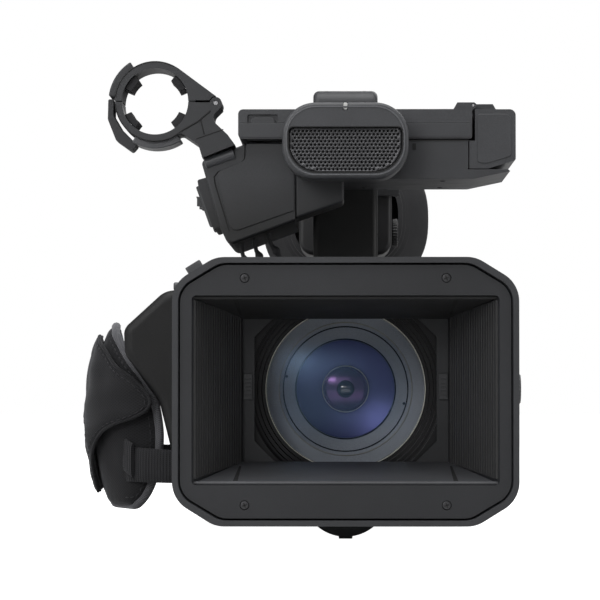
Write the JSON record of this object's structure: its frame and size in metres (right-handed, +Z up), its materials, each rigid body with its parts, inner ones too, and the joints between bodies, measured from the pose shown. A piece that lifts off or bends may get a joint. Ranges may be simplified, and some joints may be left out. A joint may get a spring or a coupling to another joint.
{
  "type": "handheld camcorder",
  "caption": "Professional handheld camcorder with a deep shuttered lens hood, front-folding screen, top handle, microphone holder, side grip strap and viewfinder.",
  "frame": {"origin": "mouth of the main tripod thread, on the underside of the base plate", "axes": "+X to the operator's left, +Y backwards (the lens looks along -Y), +Z up"},
  "size_m": [0.1841, 0.3741, 0.1935],
  "materials": {
    "hood_plastic": "fine textured black polycarbonate",
    "hood_inner": "flat black, ribbed",
    "screw_steel": "blackened steel",
    "ring_metal": "black anodised",
    "lens_glass": "coated optical glass",
    "cone_grey": "dark grey inner lens barrel",
    "ring_rubber": "ribbed rubber grip",
    "body_plastic": "fine textured black polycarbonate",
    "board": "glass fibre board",
    "base_metal": "black painted plate",
    "battery_plastic": "smooth dark grey",
    "button_plastic": "satin keys",
    "record_red": "red key",
    "clear_door": "smoked clear polycarbonate",
    "strap_fabric": "padded black nylon",
    "strap_web": "woven webbing",
    "handle_metal": "textured black",
    "shoe_metal": "black anodised",
    "pod_plastic": "fine textured black polycarbonate",
    "grille_metal": "perforated sheet",
    "lamp_lens": "translucent lamp cover",
    "screen_glass": "dark display glass",
    "soft_rubber": "soft black rubber",
    "pin_steel": "steel pins",
    "clamp_plastic": "glass-filled nylon"
  },
  "bodies": {
    "camera": {"hood_shell": "hood_plastic", "hood_front_frame": "hood_inner", "hood_screws": "screw_steel", "hood_mask": "hood_inner", "filter_ring": "ring_metal", "lens_glass": "lens_glass", "inner_cell": "cone_grey", "lens_barrel": "ring_metal", "lens_foot": "body_plastic", "sensor_block": "ring_metal", "body_left_shell": "body_plastic", "body_right_shell": "body_plastic", "base_plate": "base_metal", "rear_panel": "body_plastic", "main_board": "board", "control_panel": "body_plastic", "grip_shell": "body_plastic", "strap_pad": "strap_fabric", "strap_flap": "strap_fabric", "strap_webbing": "strap_web", "handle_shell": "handle_metal", "accessory_shoe": "shoe_metal", "mic_pod": "pod_plastic", "mic_grille": "grille_metal", "tally_lamp": "lamp_lens", "lcd_tray": "body_plastic", "lcd_hinge_block": "pod_plastic", "audio_box": "body_plastic", "cap_tethers": "soft_rubber", "clamp_lower": "clamp_plastic", "clamp_pads_lower": "soft_rubber", "hinge_pins": "pin_steel"},
    "upper_flap": {"shutter_upper": "hood_inner"},
    "lower_flap": {"shutter_lower": "hood_inner"},
    "flap_lever": {"shutter_lever": "button_plastic"},
    "focus": {"focus_ring": "ring_rubber"},
    "zoom": {"zoom_ring": "ring_rubber"},
    "iris": {"iris_ring": "ring_rubber"},
    "battery": {"battery_pack": "battery_plastic"},
    "card_cover": {"card_door": "body_plastic"},
    "nd_control": {"nd_dial": "button_plastic"},
    "assign_key": {"assign_button_1": "button_plastic"},
    "audio_cover": {"audio_door": "clear_door"},
    "level_knob_1": {"audio_dial_1": "button_plastic"},
    "level_knob_2": {"audio_dial_2": "button_plastic"},
    "grip_rocker": {"zoom_rocker": "button_plastic"},
    "record_key": {"rec_button": "record_red"},
    "handle_record_key": {"handle_rec_button": "record_red"},
    "handle_rocker": {"handle_zoom_rocker": "button_plastic"},
    "screen": {"lcd_panel": "pod_plastic", "lcd_screen": "screen_glass"},
    "input_slider_1": {"input_switch_1": "button_plastic"},
    "input_slider_2": {"input_switch_2": "button_plastic"},
    "clamp_arm": {"clamp_upper": "clamp_plastic", "clamp_pads_upper": "soft_rubber"},
    "latch": {"clamp_latch": "clamp_plastic"},
    "viewfinder": {"evf_housing": "body_plastic", "eyecup": "soft_rubber", "eyepiece_lens": "lens_glass"},
    "diopter": {"diopter_dial": "button_plastic"}
  },
  "joints": [
    {"name": "shutter_open_upper", "type": "hinge", "parent": "camera", "child": "upper_flap", "pos_m": [0, -0.2202, 0.095], "axis": [-1, 0, 0], "range_deg": [0, 44]},
    {"name": "shutter_open_lower", "type": "hinge", "parent": "camera", "child": "lower_flap", "pos_m": [0, -0.2202, 0.024], "axis": [1, 0, 0], "range_deg": [0, 44]},
    {"name": "shutter_lever_slide", "type": "slide", "parent": "camera", "child": "flap_lever", "axis": [0, 1, 0], "range_m": [0, 0.009]},
    {"name": "focus_turn", "type": "hinge", "parent": "camera", "child": "focus", "pos_m": [0, -0.14, 0.06], "axis": [0, 1, 0], "continuous": true},
    {"name": "zoom_turn", "type": "hinge", "parent": "camera", "child": "zoom", "pos_m": [0, -0.112, 0.06], "axis": [0, 1, 0], "range_deg": [0, 90]},
    {"name": "iris_turn", "type": "hinge", "parent": "camera", "child": "iris", "pos_m": [0, -0.089, 0.06], "axis": [0, 1, 0], "continuous": true},
    {"name": "battery_slide", "type": "slide", "parent": "camera", "child": "battery", "axis": [0, 1, 0], "range_m": [0, 0.055]},
    {"name": "card_door_open", "type": "hinge", "parent": "camera", "child": "card_cover", "pos_m": [0.0506, 0.0964, 0.059], "axis": [0, 0, -1], "range_deg": [0, 110]},
    {"name": "nd_turn", "type": "hinge", "parent": "camera", "child": "nd_control", "pos_m": [0.056, -0.046, 0.084], "axis": [1, 0, 0], "range_deg": [0, 135]},
    {"name": "assign_press", "type": "slide", "parent": "camera", "child": "assign_key", "axis": [-1, 0, 0], "range_m": [0, 0.0008], "stiffness_N_per_m": 150},
    {"name": "audio_door_open", "type": "hinge", "parent": "camera", "child": "audio_cover", "pos_m": [0.0566, 0.041, 0.046], "axis": [0, 1, 0], "range_deg": [0, 90]},
    {"name": "level_turn_1", "type": "hinge", "parent": "camera", "child": "level_knob_1", "pos_m": [0.056, 0.03, 0.061], "axis": [1, 0, 0], "range_deg": [0, 270]},
    {"name": "level_turn_2", "type": "hinge", "parent": "camera", "child": "level_knob_2", "pos_m": [0.056, 0.052, 0.061], "axis": [1, 0, 0], "range_deg": [0, 270]},
    {"name": "grip_zoom_rock", "type": "hinge", "parent": "camera", "child": "grip_rocker", "pos_m": [-0.0674, -0.037, 0.102], "axis": [1, 0, 0], "range_deg": [-6, 6], "stiffness_Nm_per_rad": 0.06},
    {"name": "record_press", "type": "slide", "parent": "camera", "child": "record_key", "axis": [0, -1, 0], "range_m": [0, 0.001], "stiffness_N_per_m": 200},
    {"name": "handle_record_press", "type": "slide", "parent": "camera", "child": "handle_record_key", "axis": [0, 0, -1], "range_m": [0, 0.0008], "stiffness_N_per_m": 200},
    {"name": "handle_zoom_rock", "type": "hinge", "parent": "camera", "child": "handle_rocker", "pos_m": [0, -0.024, 0.185], "axis": [1, 0, 0], "range_deg": [-6, 6], "stiffness_Nm_per_rad": 0.04},
    {"name": "screen_fold", "type": "hinge", "parent": "camera", "child": "screen", "pos_m": [0.052, -0.112, 0.1752], "axis": [0, 1, 0], "range_deg": [0, 180]},
    {"name": "input_select_1", "type": "slide", "parent": "camera", "child": "input_slider_1", "axis": [0, 1, 0], "range_m": [-0.0035, 0.0035]},
    {"name": "input_select_2", "type": "slide", "parent": "camera", "child": "input_slider_2", "axis": [0, 1, 0], "range_m": [-0.0035, 0.0035]},
    {"name": "clamp_open", "type": "hinge", "parent": "camera", "child": "clamp_arm", "pos_m": [-0.0527, -0.1335, 0.1762], "axis": [0, 1, 0], "range_deg": [0, 80]},
    {"name": "latch_open", "type": "hinge", "parent": "camera", "child": "latch", "pos_m": [-0.0872, -0.1335, 0.1594], "axis": [0, -1, 0], "range_deg": [0, 35]},
    {"name": "viewfinder_tilt", "type": "hinge", "parent": "camera", "child": "viewfinder", "pos_m": [0, 0.077, 0.1619], "axis": [1, 0, 0], "range_deg": [0, 75]},
    {"name": "diopter_turn", "type": "hinge", "parent": "viewfinder", "child": "diopter", "pos_m": [0.024, 0.104, 0.1355], "axis": [1, 0, 0], "range_deg": [-60, 60]}
  ],
  "couplings": [
    {"joint": "shutter_open_lower", "follows": "shutter_open_upper", "ratio": 1},
    {"joint": "shutter_lever_slide", "follows": "shutter_open_upper", "m_per_rad": 0.0115}
  ]
}
